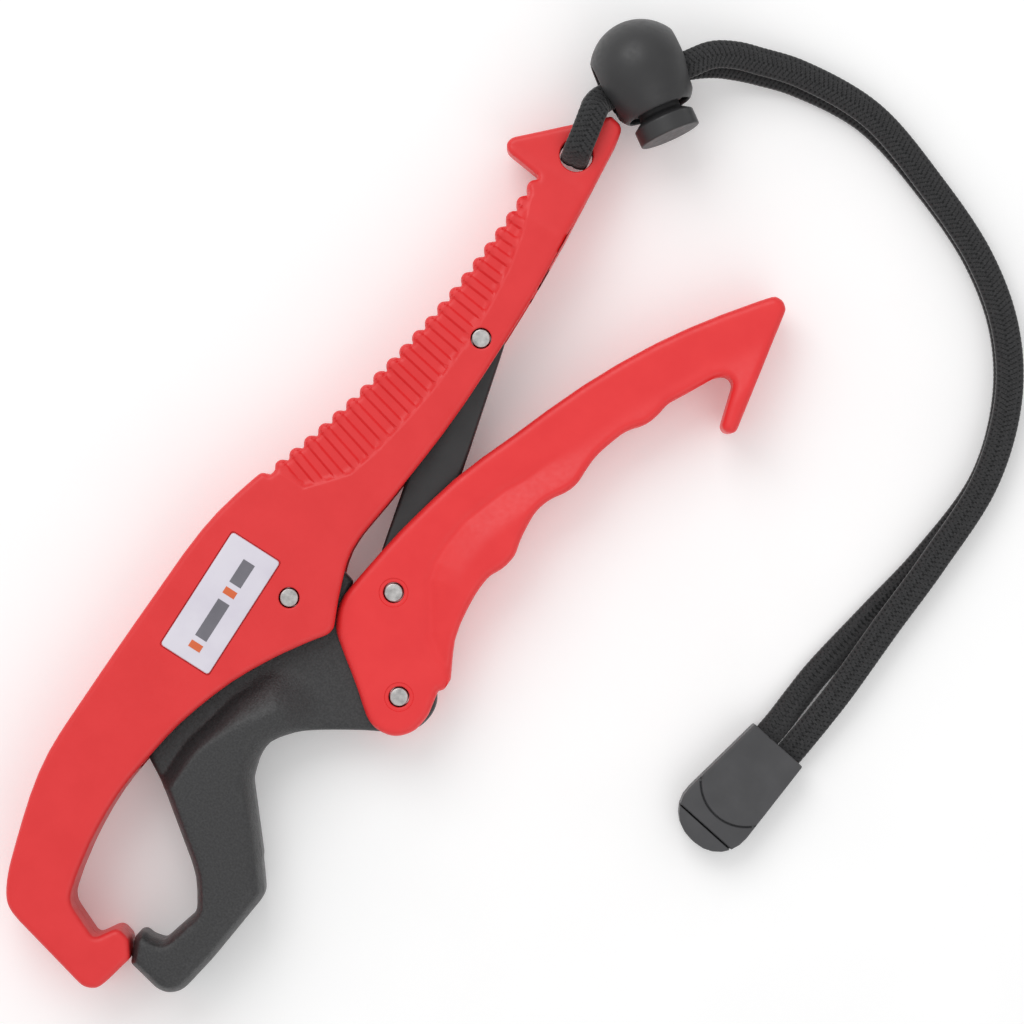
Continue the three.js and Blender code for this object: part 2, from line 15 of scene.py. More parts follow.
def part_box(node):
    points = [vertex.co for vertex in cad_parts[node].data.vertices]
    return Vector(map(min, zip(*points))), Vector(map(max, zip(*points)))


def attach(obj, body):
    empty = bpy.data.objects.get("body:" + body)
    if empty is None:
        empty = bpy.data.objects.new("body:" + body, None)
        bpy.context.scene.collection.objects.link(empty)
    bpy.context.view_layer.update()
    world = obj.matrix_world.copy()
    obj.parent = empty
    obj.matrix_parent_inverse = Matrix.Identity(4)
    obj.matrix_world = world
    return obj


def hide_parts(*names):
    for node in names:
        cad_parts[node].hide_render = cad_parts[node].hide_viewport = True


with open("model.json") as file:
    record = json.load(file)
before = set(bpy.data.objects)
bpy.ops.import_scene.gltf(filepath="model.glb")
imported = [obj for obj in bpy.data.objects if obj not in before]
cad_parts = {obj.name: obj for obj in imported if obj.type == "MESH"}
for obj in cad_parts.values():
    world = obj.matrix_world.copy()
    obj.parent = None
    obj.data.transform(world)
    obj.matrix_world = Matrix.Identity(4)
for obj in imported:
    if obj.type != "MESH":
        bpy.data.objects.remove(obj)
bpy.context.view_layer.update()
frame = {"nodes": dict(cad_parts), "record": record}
MM = 0.001
JOINTS = {joint["name"]: joint for joint in frame["record"]["behaviour"]["joints"]}
PIVOT = Vector(JOINTS["jaw_pivot"]["pos_m"])
PIVOT.z = 0.0  # places in this script are millimetres from the jaw pivot, on the floor
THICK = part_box("body_front_shell")[1][2] / MM


def metres(point):
    """A place in the row frame, from millimetres from the jaw pivot."""
    return PIVOT + Vector(point) * MM


def place_of(joint):
    """A joint's place in the plan, in millimetres from the jaw pivot."""
    return (Vector(JOINTS[joint]["pos_m"]) - PIVOT) / MM


# ---- camera ---------------------------------------------------------------------------
CAMERA = {"over": (36.08, 44.59), "height": 1080, "turn": 30, "wide": 245.76}
camera_data = bpy.data.cameras.new("camera")
camera_data.lens = camera_data.sensor_width * (CAMERA["height"] - THICK) / CAMERA["wide"]
camera = bpy.data.objects.new("camera", camera_data)
camera.location = metres((*CAMERA["over"], CAMERA["height"]))
camera.rotation_euler = (0, 0, math.radians(CAMERA["turn"]))
bpy.context.collection.objects.link(camera)
bpy.context.scene.camera = camera
bpy.context.scene.view_settings.view_transform = "Standard"


# ---- materials --------------------------------------------------------------------------
def srgb(*rgb):
    """A linear colour, from sRGB numbers of 0 to 255."""
    return [c / 12.92 if c <= 0.04045 else ((c + 0.055) / 1.055) ** 2.4 for c in (v / 255 for v in rgb)]


class Finish:
    """A node material, with a few short ways to add what plastic, steel and lace need."""

    def __init__(self, name):
        self.material = bpy.data.materials.new(name)
        self.material.use_nodes = True
        self.tree = self.material.node_tree
        self.shader = self.tree.nodes["Principled BSDF"]
        self.places = self.add("ShaderNodeTexCoord").outputs["Object"]
        self.height = None

    def add(self, kind, **settings):
        node = self.tree.nodes.new(kind)
        for key, value in settings.items():
            setattr(node, key, value)
        return node

    def link(self, out, socket):
        self.tree.links.new(out, socket)

    def noise(self, size_mm, detail=2.0, rough=0.5, stretch=None):
        node = self.add("ShaderNodeTexNoise")
        node.inputs["Scale"].default_value = 1 / (size_mm * MM)
        node.inputs["Detail"].default_value = detail
        node.inputs["Roughness"].default_value = rough
        source = self.places
        if stretch:
            mapping = self.add("ShaderNodeMapping")
            mapping.inputs["Scale"].default_value = stretch
            self.link(self.places, mapping.inputs["Vector"])
            source = mapping.outputs["Vector"]
        self.link(source, node.inputs["Vector"])
        return node.outputs["Fac"]

    def pits(self, size_mm):
        node = self.add("ShaderNodeTexVoronoi", feature="SMOOTH_F1")
        node.inputs["Scale"].default_value = 1 / (size_mm * MM)
        self.link(self.places, node.inputs["Vector"])
        return node.outputs["Distance"]

    def between(self, factor, low, high, socket, reach=(0.3, 0.7)):
        """Colour from one tone to another by a factor that varies over the surface."""
        ramp = self.add("ShaderNodeValToRGB")
        ramp.color_ramp.elements[0].position = reach[0]
        ramp.color_ramp.elements[1].position = reach[1]
        ramp.color_ramp.elements[0].color = (*low, 1)
        ramp.color_ramp.elements[1].color = (*high, 1)
        self.link(factor, ramp.inputs["Fac"])
        self.link(ramp.outputs["Color"], self.shader.inputs[socket])

    def vary(self, factor, low, high, socket):
        """A number that goes from low to high by a factor that varies over the surface."""
        node = self.add("ShaderNodeMapRange")
        node.inputs["From Min"].default_value = 0.3
        node.inputs["From Max"].default_value = 0.7
        node.inputs["To Min"].default_value = low
        node.inputs["To Max"].default_value = high
        self.link(factor, node.inputs["Value"])
        self.link(node.outputs["Result"], self.shader.inputs[socket])

    def bump(self, factor, depth_mm):
        node = self.add("ShaderNodeBump")
        node.inputs["Strength"].default_value = 1.0
        node.inputs["Distance"].default_value = depth_mm * MM
        self.link(factor, node.inputs["Height"])
        if self.height:
            self.link(self.height, node.inputs["Normal"])
        self.height = node.outputs["Normal"]
        self.link(self.height, self.shader.inputs["Normal"])


def moulded(name, colour, shade, rough, grain_mm, grain_depth, coarse_depth=0.0, tone_mm=9):
    """Moulded plastic with a spark-eroded grain, slightly uneven in tone and gloss."""
    made = Finish(name)
    made.between(made.noise(tone_mm, 4), shade, colour, "Base Color", (0.35, 0.65))
    made.vary(made.noise(1.3, 3), rough - 0.05, rough + 0.07, "Roughness")
    made.bump(made.noise(grain_mm, 3, 0.6), grain_depth)
    if coarse_depth:
        made.bump(made.pits(grain_mm * 2.2), coarse_depth)
    return made.material


def steel():
    made = Finish("turned_steel")
    made.shader.inputs["Metallic"].default_value = 1.0
    made.between(made.noise(1.6, 3), srgb(168, 166, 165), srgb(214, 212, 210), "Base Color")
    made.vary(made.noise(0.5, 3), 0.34, 0.52, "Roughness")
    made.bump(made.noise(0.12, 2, 0.6, (1, 9, 1)), 0.012)
    return made.material


def lace_yarn(name, low, high):
    made = Finish(name)
    made.shader.inputs["Sheen Weight"].default_value = 0.35
    made.shader.inputs["Sheen Roughness"].default_value = 0.45
    made.shader.inputs["Specular IOR Level"].default_value = 0.3
    made.between(made.noise(0.5, 4), srgb(low, low, low + 1), srgb(high, high, high + 1), "Base Color")
    made.vary(made.noise(0.35, 3), 0.75, 0.95, "Roughness")
    made.bump(made.noise(0.14, 3, 0.65, (1, 1, 1)), 0.05)
    return made.material


def foam():
    made = Finish("closed_cell_foam")
    made.between(made.noise(2, 4), srgb(222, 219, 210), srgb(238, 236, 230), "Base Color")
    made.vary(made.noise(0.7, 2), 0.85, 0.98, "Roughness")
    made.bump(made.pits(0.6), 0.08)
    return made.material


FINISHES = {
    "body": moulded("red_body_plastic", srgb(230, 48, 50), srgb(226, 44, 46), 0.42, 0.3, 0.012),
    "lever": moulded("red_lever_plastic", srgb(238, 50, 52), srgb(234, 45, 48), 0.42, 0.3, 0.012),
    "jaw": moulded("black_jaw_plastic", srgb(58, 58, 59), srgb(42, 42, 43), 0.42, 0.45, 0.12, 0.06, 0.5),
    "link": moulded("black_link_plastic", srgb(49, 49, 50), srgb(44, 44, 45), 0.42, 0.3, 0.012),
    "lock": moulded("black_lock_plastic", srgb(50, 50, 51), srgb(45, 45, 46), 0.42, 0.25, 0.006),
    "clip": moulded("grey_clip_plastic", srgb(72, 72, 74), srgb(64, 64, 66), 0.45, 0.28, 0.012),
    "label": moulded("label_film", srgb(226, 222, 232), srgb(219, 214, 226), 0.2, 2.0, 0.01),
    "ink_grey": moulded("label_grey_ink", srgb(120, 118, 126), srgb(108, 106, 114), 0.35, 0.6, 0.004),
    "ink_orange": moulded("label_orange_ink", srgb(226, 112, 64), srgb(214, 98, 54), 0.35, 0.6, 0.004),
    "steel": steel(),
    "lace": lace_yarn("knitted_lace", 38, 60),
    # painted shade: a darker yarn for the knit's grooves, standing in for the shade between the stitches
    "lace_painted_groove_shade": lace_yarn("knitted_lace_painted_groove_shade", 16, 26),
    "foam": foam(),
}


# ---- making pieces ----------------------------------------------------------------------
def make(name, points, faces, finish, body, nodes=(), sharp=35):
    """A piece from millimetre places and faces, riding on a body and standing for CAD nodes."""
    mesh = bpy.data.meshes.new(name)
    mesh.from_pydata([metres(p) for p in points], [], faces)
    mesh.validate()
    mend(mesh)
    mesh.polygons.foreach_set("use_smooth", [True] * len(mesh.polygons))
    mesh.set_sharp_from_angle(angle=math.radians(sharp))
    mesh.materials.append(FINISHES[finish])
    piece = bpy.data.objects.new(name, mesh)
    bpy.context.collection.objects.link(piece)
    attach(piece, body)
    if nodes:
        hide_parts(*nodes)
    return piece


def mend(mesh):
    """Closes the pinholes that a triangulation can leave along a rim."""
    bm = bmesh.new()
    bm.from_mesh(mesh)
    gaps = [e for e in bm.edges if len(e.link_faces) == 1]
    bmesh.ops.holes_fill(bm, edges=gaps, sides=24)
    bm.to_mesh(mesh)
    bm.free()


def distances(points, starts, ends):
    """Each point's distance to the nearest of some segments, in the plan."""
    out = np.full(len(points), np.inf)
    along = ends - starts
    length2 = np.maximum((along**2).sum(axis=1), 1e-12)
    for first in range(0, len(points), 2000):
        part = points[first : first + 2000, None, :] - starts[None]
        t = np.clip((part * along[None]).sum(axis=2) / length2, 0, 1)
        gap = part - t[:, :, None] * along[None]
        out[first : first + 2000] = np.sqrt((gap**2).sum(axis=2)).min(axis=1)
    return out


def line_distance(points, line, closed=False):
    line = np.array(line, float)
    ends = np.roll(line, -1, axis=0) if closed else line[1:]
    starts = line if closed else line[:-1]
    return distances(points, starts, ends)


def within(points, loop):
    """Whether each point lies inside a closed loop."""
    loop = np.array(loop, float)
    x, y = points[:, 0], points[:, 1]
    inside = np.zeros(len(points), bool)
    for (ax, ay), (bx, by) in zip(loop, np.roll(loop, -1, axis=0)):
        crosses = (ay > y) != (by > y)
        reach = ax + (y - ay) * (bx - ax) / np.where(by == ay, 1e-12, by - ay)
        inside ^= crosses & (x < reach)
    return inside


def ease(t):
    t = np.clip(t, 0, 1)
    return t * t * (3 - 2 * t)


class Plan:
    """A CAD node in plan, from the front (side 1) or the rear (side -1), heights towards the viewer."""

    def __init__(self, node, side=1):
        self.side = side
        bm = bmesh.new()
        bm.from_mesh(frame["nodes"][node].data)
        bmesh.ops.remove_doubles(bm, verts=bm.verts, dist=1e-6)
        bmesh.ops.triangulate(bm, faces=bm.faces)
        bm.verts.index_update()
        places = [self.flip((v.co - PIVOT) / MM) for v in bm.verts]
        faces = [[v.index for v in f.verts][::side] for f in bm.faces]
        self.tree = BVHTree.FromPolygons(places, faces)
        self.steps = set()
        for edge in bm.edges:
            level = [abs(f.normal.z) > 0.5 for f in edge.link_faces]
            if any(level) and not all(level):
                a, b = (tuple(round(c, 3) for c in places[v.index][:2]) for v in edge.verts)
                if a != b:
                    self.steps.add((min(a, b), max(a, b)))
        bm.free()

    def flip(self, p):
        return Vector((p[0], p[1], p[2] if self.side > 0 else THICK - p[2]))

    def top(self, x, y):
        hit = self.tree.ray_cast(Vector((x, y, 100)), Vector((0, 0, -1)))
        return None if hit[0] is None else hit[0].z

    def floor_over(self, x, y, seam):
        """Height of the underside over a seam level, or the seam where the node is solid there."""
        point, normal, _, _ = self.tree.ray_cast(Vector((x, y, seam)), Vector((0, 0, 1)))
        return round(point.z, 3) if point is not None and normal.z < 0 else seam


def subdivided(edges, step):
    """Points and index pairs for segments cut to at most one step long."""
    index, points, pairs = {}, [], []

    def at(p):
        key = (round(p[0], 3), round(p[1], 3))
        if key not in index:
            index[key] = len(points)
            points.append(key)
        return index[key]

    for a, b in sorted(edges):
        count = max(1, math.ceil(math.dist(a, b) / step))
        chain = [at((a[0] + (b[0] - a[0]) * k / count, a[1] + (b[1] - a[1]) * k / count))
                 for k in range(count + 1)]
        pairs += [(p, q) for p, q in zip(chain, chain[1:]) if p != q]
    return points, pairs


def spaced(loop, step):
    """A closed loop with points added along its longer edges."""
    out = []
    for a, b in zip(loop, np.roll(loop, -1, axis=0)):
        count = max(1, math.ceil(math.dist(a, b) / (1.5 * step)))
        out += [a + (b - a) * k / count for k in range(count)]
    return np.array(out)


def triangulate(points, pairs):
    out = delaunay_2d_cdt([Vector(p) for p in points], pairs, [], 0, 1e-5)
    return np.array([tuple(v) for v in out[0]]), [tuple(f) for f in out[2]], out[3]


def rim_loops(faces):
    """The loops of edges that only one face has, with the faces on their left."""
    used = {}
    for f in faces:
        for a, b in zip(f, f[1:] + f[:1]):
            used[(a, b)] = True
    after = {a: b for a, b in used if (b, a) not in used}
    loops = []
    while after:
        start, b = after.popitem()
        loop = [start]
        while b != start and b in after:
            loop.append(b)
            b = after.pop(b)
        loops.append(loop)
    return loops


def soothe(points, loops, rounds=8):
    """Rounds off the facets of the loops without shrinking them."""
    for loop in loops:
        for step in [0.5, -0.52] * rounds:
            here = points[loop]
            mean = (np.roll(here, 1, axis=0) + np.roll(here, -1, axis=0)) / 2
            points[loop] = here + step * (mean - here)
    return points


SMALL_HOLE = 9  # mm across: pin bores and the lanyard hole keep a crisp rim
SMALL_ROUND = 0.45
FINE_GRID = 0.5


def relief(plan, level, round_mm, seam, step=0.8, grid=1.3, fine=None, lines=(), sooth=True, dots=None):
    """One side of a moulded piece: a top sheet with rounded rims and shaped heights, outer walls and
    the CAD's own stepped underside, down to the seam's height. Returns its points and its faces."""

    def solid_at(x, y):
        top = plan.top(x, y)
        return top is not None and top >= seam + 0.01

    base, pairs = subdivided(plan.steps, step)
    points, faces, _ = triangulate(base, pairs)
    kept, floors = [], []
    for f in faces:
        x, y = points[list(f)].mean(axis=0)
        area = np.cross(points[f[1]] - points[f[0]], points[f[2]] - points[f[0]])
        if abs(area) < 1e-7 or not solid_at(x, y):
            continue
        kept.append(f if area > 0 else f[::-1])
        floors.append(plan.floor_over(x, y, seam))
    loops = rim_loops(kept)
    if sooth:
        points = soothe(points, loops)
    rim = [i for loop in loops for i in loop]
    rim_at = {i: k for k, i in enumerate(rim)}
    rim_pairs = [(rim_at[a], rim_at[b]) for loop in loops for a, b in zip(loop, loop[1:] + loop[:1])]
    starts, ends = points[[rim[a] for a, _ in rim_pairs]], points[[rim[b] for _, b in rim_pairs]]

    def radius_of(loop):
        spread = points[loop].max(axis=0) - points[loop].min(axis=0)
        return SMALL_ROUND if max(spread) < SMALL_HOLE and min(spread) > 0.8 * max(spread) else round_mm

    rounds = np.concatenate([np.full(len(loop), radius_of(loop)) for loop in loops])
    soft = rounds > SMALL_ROUND
    # points for the top sheet: rings that follow the rims, then a grid
    extra = []
    for loop in loops:
        radius = radius_of(loop)
        here = spaced(points[loop], step)
        along = np.roll(here, -1, axis=0) - np.roll(here, 1, axis=0)
        along /= np.maximum(np.linalg.norm(along, axis=1), 1e-9)[:, None]
        inward = np.stack([-along[:, 1], along[:, 0]], axis=1)
        for angle in (20, 38, 56, 73, 90):
            offset = radius * (1 - math.cos(math.radians(angle)))
            ring = here + inward * offset
            extra.append(ring[distances(ring, starts, ends) > 0.96 * offset])
    low, high = points[rim].min(axis=0), points[rim].max(axis=0)
    for spacing in (grid, FINE_GRID):
        if spacing == FINE_GRID and (fine is None or dots is not None):
            continue
        xs, ys = np.arange(low[0], high[0], spacing), np.arange(low[1], high[1], spacing * 0.866)
        gx, gy = np.meshgrid(xs, ys)
        gx[1::2] += spacing / 2
        grains = np.stack([gx.ravel(), gy.ravel()], axis=1)
        if fine is not None:
            grains = grains[fine(grains) == (spacing == FINE_GRID)]
        extra.append(grains[distances(grains, starts, ends) > max(round_mm, 0.7) * 1.06])
    if dots is not None:
        extra.append(dots[distances(dots, starts, ends) > max(round_mm, 0.7) * 1.06])
    extra = np.concatenate(extra)
    extra = extra[np.array([solid_at(x, y) for x, y in extra])]
    line_points, line_pairs = [], []
    for line in lines:
        first = len(rim) + len(line_points)
        line_points += [tuple(p) for p in line]
        line_pairs += [(first + k, first + (k + 1) % len(line)) for k in range(len(line))]
    if line_points:
        extra = extra[np.min([line_distance(extra, line, True) for line in lines], axis=0) > 0.12]
    given = [tuple(p) for p in points[rim]] + line_points + [tuple(p) for p in extra]
    sheet, sheet_faces, origin = triangulate(given, rim_pairs + line_pairs)
    kept_top = []
    rim_set = set()
    source = {}
    for k, olds in enumerate(origin):
        for old in olds:
            if old < len(rim):
                source[old] = k
                rim_set.add(k)
    for f in sheet_faces:
        a, b, c = (sheet[i] for i in f)
        x, y = (a + b + c) / 3
        area = np.cross(b - a, c - a)
        if abs(area) < 1e-9 or (all(i in rim_set for i in f) and not solid_at(x, y)):
            continue
        kept_top.append(f if area > 0 else f[::-1])
    used = sorted({i for f in kept_top for i in f} | set(source.values()))
    number = {old: new for new, old in enumerate(used)}
    flat = sheet[used]
    near_soft = distances(flat, starts[soft], ends[soft]) if soft.any() else np.full(len(flat), 99.0)
    near_small = distances(flat, starts[~soft], ends[~soft]) if (~soft).any() else np.full(len(flat), 99.0)
    z = level(flat)
    for gap, radius in ((near_soft, round_mm), (near_small, SMALL_ROUND)):
        inner = np.clip(radius - gap, 0, radius)
        z = z - (radius - np.sqrt(np.maximum(radius**2 - inner**2, 0)))
    out = [(x, y, h) for (x, y), h in zip(flat, z)]
    out_faces = [tuple(number[i] for i in f) for f in kept_top]
    # underside and walls
    index = {}

    def under(i, h):
        key = (i, round(h, 3))
        if key not in index:
            index[key] = len(out)
            out.append((points[i][0], points[i][1], h))
        return index[key]

    levels = {}
    for f, h in zip(kept, floors):
        for i in f:
            levels.setdefault(i, set()).add(round(h, 3))

    def between(i, low, high):
        return sorted(h for h in levels[i] if low + 1e-6 < h < high - 1e-6)

    floor_of = {}
    for f, h in zip(kept, floors):
        for a, b in zip(f, f[1:] + f[:1]):
            floor_of[(a, b)] = round(h, 3)
        out_faces.append(tuple(under(i, h) for i in reversed(f)))
    for (a, b), h in floor_of.items():
        other = floor_of.get((b, a))
        if other is None:
            ta, tb = number[source[rim_at[a]]], number[source[rim_at[b]]]
            up_a = [under(a, v) for v in between(a, h, out[ta][2])]
            up_b = [under(b, v) for v in between(b, h, out[tb][2])]
            wall = [under(a, h), under(b, h), *up_b, tb, ta, *reversed(up_a)]
            out_faces.append(tuple(wall))
        elif other > h:
            up_a = [under(a, v) for v in between(a, h, other)]
            up_b = [under(b, v) for v in between(b, h, other)]
            out_faces.append(tuple([under(a, h), under(b, h), *up_b, under(b, other),
                                    under(a, other), *reversed(up_a)]))
    return out, out_faces


def turned_over(points, tall):
    """The same side, seen from behind."""
    return [(x, y, tall - z) for x, y, z in points]


def two_sided(node, level, round_mm, **options):
    """A piece whose two sides mirror each other about its middle, welded there."""
    mid = THICK / 2
    points, faces = relief(Plan(node), level, round_mm, mid, **options)
    open_faces = [f for f in faces if not all(abs(points[i][2] - mid) < 1e-6 for i in f)]
    seam = [abs(p[2] - mid) < 1e-6 for p in points]
    index, rear = {}, []
    for k, (x, y, z) in enumerate(points):
        if seam[k]:
            index[k] = k
        else:
            index[k] = len(points) + len(rear)
            rear.append((x, y, 2 * mid - z))
    both = open_faces + [tuple(index[i] for i in reversed(f)) for f in open_faces]
    used = sorted({i for f in both for i in f})
    number = {old: new for new, old in enumerate(used)}
    everything = list(points) + rear
    return [everything[i] for i in used], [tuple(number[i] for i in f) for f in both]


# ---- body shells --------------------------------------------------------------------------
RIBS = {"count": 21, "centre": (-276.9, 127.8), "r": 277, "first": (-18.9, 27), "last": (-0.2, 115)}
PANEL = [(-19.9, 25.2), (-10, 24.5), (-2, 33), (0.5, 40), (3, 50), (5, 60), (6.6, 75), (6.9, 85),
         (6.4, 95), (4.6, 105), (1.5, 114), (-1.5, 117)]
PANEL_SUNK, RIB_DEPTH = 0.3, 0.75
PANEL_FIELD = PANEL + [(-20, 117), (-30, 60)]
TAPER = {"from": 108, "to": 121, "depth": 4}
LABEL = {"at": (-13.6, -9.4), "size": (13.6, 32.1), "turn": -2.7}
SHELL_SEAM = 10.15


def rib_angle(x, y):
    return np.arctan2(y - RIBS["centre"][1], x - RIBS["centre"][0])


RIB_FIRST = rib_angle(*RIBS["first"])
RIB_PITCH = (rib_angle(*RIBS["last"]) - RIB_FIRST) / (RIBS["count"] - 1)


def on_label(x, y):
    """A place in the plan, from one in the label's own directions."""
    turn = math.radians(LABEL["turn"])
    return (LABEL["at"][0] + x * math.cos(turn) - y * math.sin(turn),
            LABEL["at"][1] + x * math.sin(turn) + y * math.cos(turn))


def rectangle(size, grow=0.0, corner=0.8):
    """A rounded rectangle over the label's place."""
    wide, long = (side / 2 + grow for side in size)
    out = []
    for k, (sx, sy) in enumerate([(1, 1), (-1, 1), (-1, -1), (1, -1)]):
        for step in range(5):
            a = math.pi / 2 * (k + step / 4)
            x = sx * (wide - corner) + corner * math.cos(a)
            y = sy * (long - corner) + corner * math.sin(a)
            out.append(on_label(x, y))
    return out


def in_panel(p):
    return within(p, PANEL_FIELD)


def body_level(front):
    seat_outer, seat_inner = rectangle(LABEL["size"], 0.32), rectangle(LABEL["size"], 0.24)

    def level(p):
        x, y = p[:, 0], p[:, 1]
        z = THICK - TAPER["depth"] * np.clip((y - TAPER["from"]) / (TAPER["to"] - TAPER["from"]), 0, 1)
        into = line_distance(p, PANEL) * np.where(in_panel(p), 1, -1)
        sunk = ease((into + 0.3) / 0.8)
        phase = (rib_angle(x, y) - RIB_FIRST) / RIB_PITCH
        off = np.abs(phase - np.round(phase))  # 0 on a crest, 0.5 in the middle of a valley
        crest = 1 - ease((off - 0.17) / 0.13)
        span = (phase > -0.6) & (phase < RIBS["count"] - 0.4)
        ridge = ease((into - 0.2) / 0.7) * np.where(span, 1, 0)
        z = z - PANEL_SUNK * sunk - RIB_DEPTH * ridge * (1 - crest)
        if front:
            z = np.where(within(p, seat_inner) | (line_distance(p, seat_inner, True) < 0.01), z - 0.5, z)
        return z

    return level, [seat_outer, seat_inner] if front else []


def panel_dots():
    """Places for the rib panel's points, in rows along its crests, their flanks and its valleys."""
    phases = [k + f for k in range(-1, RIBS["count"])
              for f in (-0.17, 0, 0.17, 0.215, 0.26, 0.3, 0.4, 0.5, 0.6, 0.7, 0.74, 0.785)]
    radii = np.arange(RIBS["r"] - 24, RIBS["r"] + 34, 0.75)
    a, r = np.meshgrid(RIB_FIRST + RIB_PITCH * np.array(phases), radii)
    rows = np.stack([RIBS["centre"][0] + r.ravel() * np.cos(a.ravel()),
                     RIBS["centre"][1] + r.ravel() * np.sin(a.ravel())], axis=1)
    rim = [np.array(PANEL)[k] + (np.array(PANEL)[k + 1] - np.array(PANEL)[k]) * f
           for k in range(len(PANEL) - 1) for f in np.linspace(0, 1, 12, endpoint=False)]
    rim = np.array(rim)
    across = np.gradient(rim, axis=0)
    across = np.stack([-across[:, 1], across[:, 0]], axis=1) / np.linalg.norm(across, axis=1)[:, None]
    edges = np.concatenate([rim + across * off for off in (-0.9, -0.5, -0.3, 0, 0.25, 0.5)])
    rows = rows[in_panel(rows) & (line_distance(rows, PANEL) > 1.1)]
    return np.concatenate([rows, edges])


BODY_ROUND = 1.5
PANEL_DOTS = panel_dots()
for name, side in (("body_front", 1), ("body_rear", -1)):
    level, seats = body_level(side > 0)
    points, faces = relief(Plan(f"{name}_shell", side), level, BODY_ROUND, SHELL_SEAM, fine=in_panel,
                           lines=seats, step=0.7, dots=PANEL_DOTS)
    if side < 0:
        points, faces = turned_over(points, THICK), [f[::-1] for f in faces]
    make(f"{name}_moulding", points, faces, "body", "root", [f"{name}_shell"])

# ---- moving jaw -----------------------------------------------------------------------------
JAW_LEVELS = {"arm": 13.7, "tine": 19.5}


def top_loop(node, height):
    """The outer loop of a node's level faces at one height."""
    bm = bmesh.new()
    bm.from_mesh(frame["nodes"][node].data)
    bmesh.ops.remove_doubles(bm, verts=bm.verts, dist=1e-6)
    faces = [f for f in bm.faces if f.normal.z > 0.9 and abs(f.calc_center_median().z / MM - height) < 0.05]
    loops = rim_loops([tuple(v.index for v in f.verts) for f in faces])
    bm.verts.ensure_lookup_table()
    lines = [[tuple(((bm.verts[i].co - PIVOT) / MM)[:2]) for i in loop] for loop in loops]
    bm.free()
    return max(lines, key=len)


TINE = top_loop("moving_jaw", JAW_LEVELS["tine"])
JAW_OUTSIDE = [(31.5, -4), (24.3, -23), (17.7, -27.3), (13.7, -32), (12.8, -36.8), (14.2, -42.7),
               (21.4, -52.2), (28, -61.2), (30.4, -65.5), (27.4, -84.4), (24.5, -97)]


def jaw_level(p):
    x, y = p[:, 0], p[:, 1]
    into = line_distance(p, TINE, True) * np.where(within(p, TINE), 1, -1)
    # a firm step near the body's tip end, a long soft swell towards the lever
    soft = ease((y + 54) / 34) * ease((x + 6) / 16)
    width = 4.4 + 8.0 * soft
    rise = ease((into + 0.5 * width) / width)
    z = JAW_LEVELS["arm"] + (JAW_LEVELS["tine"] - JAW_LEVELS["arm"]) * rise
    # the outer side falls away in a broad shoulder
    shoulder = 1 - np.clip(line_distance(p, JAW_OUTSIDE) / 5.2, 0, 1)
    return z - 1.7 * shoulder**2 * rise


def near_tine(p):
    return (line_distance(p, TINE, True) < 3.5) & (p[:, 1] > -58) & (p[:, 1] < -15)


points, faces = two_sided("moving_jaw", jaw_level, 1.6, fine=near_tine, step=0.8)
make("moving_jaw_moulding", points, faces, "jaw", "jaw", ["moving_jaw"])

# ---- finger lever ---------------------------------------------------------------------------
LEVER_LEVELS = {"blade": 16.2, "grip": 18.2}
VALLEY = [(42.5, 3.5), (38, 6), (33.5, 9.5), (29.8, 16), (27, 20.5), (26.2, 25), (26.4, 30),
          (27.5, 37), (29.5, 42), (32, 48), (35, 53), (37.5, 59), (41.5, 67), (47, 79), (57, 96.5),
          (63, 104), (68, 112)]
VALLEY_FIELD = VALLEY + [(90, 112), (90, -10), (46, -10)]
RING = {"r": 3.5, "sunk": 0.28}


def circle(at, r, count=40):
    return [(at[0] + r * math.cos(2 * math.pi * k / count), at[1] + r * math.sin(2 * math.pi * k / count))
            for k in range(count)]


LINK_LEVER_AT = (21.07, 13.51)
LEVER_PINS = [LINK_LEVER_AT, tuple(place_of("lever_pivot"))[:2]]


def lever_level(p):
    into = line_distance(p, VALLEY) * np.where(within(p, VALLEY_FIELD), 1, -1)
    up = p[:, 1]
    width = 8.5 + 4.0 * ease((up - 50) / 26)
    lift = ease((into + 0.05 * width) / width)
    dip = 0.4 * np.exp(-((into / 1.3) ** 2)) * ease((66 - up) / 20)
    z = LEVER_LEVELS["blade"] + (LEVER_LEVELS["grip"] - LEVER_LEVELS["blade"]) * lift - dip
    for at in LEVER_PINS:
        away = np.hypot(p[:, 0] - at[0], p[:, 1] - at[1])
        z = np.where(away < RING["r"], LEVER_LEVELS["blade"] - RING["sunk"], z)
    return z


def near_valley(p):
    return (line_distance(p, VALLEY) < 3.5) & (p[:, 1] < 75)


pin_rings = [circle(at, r) for at in LEVER_PINS for r in (RING["r"] - 0.08, RING["r"] + 0.08)]
points, faces = two_sided("lever_grip", lever_level, 1.9, fine=near_valley, lines=pin_rings, step=0.8)
make("finger_lever_moulding", points, faces, "lever", "lever", ["lever_grip"])

# ---- toggle link ----------------------------------------------------------------------------
LINK_TOP = 13.7
LINK_LINE = [tuple(place_of("link_pivot"))[:2], LINK_LEVER_AT]


def link_level(p):
    """A soft ridge along the link, with a lower facet on its left."""
    a, b = (np.array(q) for q in LINK_LINE)
    along = (b - a) / np.linalg.norm(b - a)
    across = (p - a) @ np.array([-along[1], along[0]])
    return LINK_TOP - 0.02 * np.abs(across) - 0.13 * np.clip(across, 0, None)


points, faces = two_sided("toggle_link", link_level, 0.9, step=1.0)
make("toggle_link_moulding", points, faces, "link", "link", ["toggle_link"])


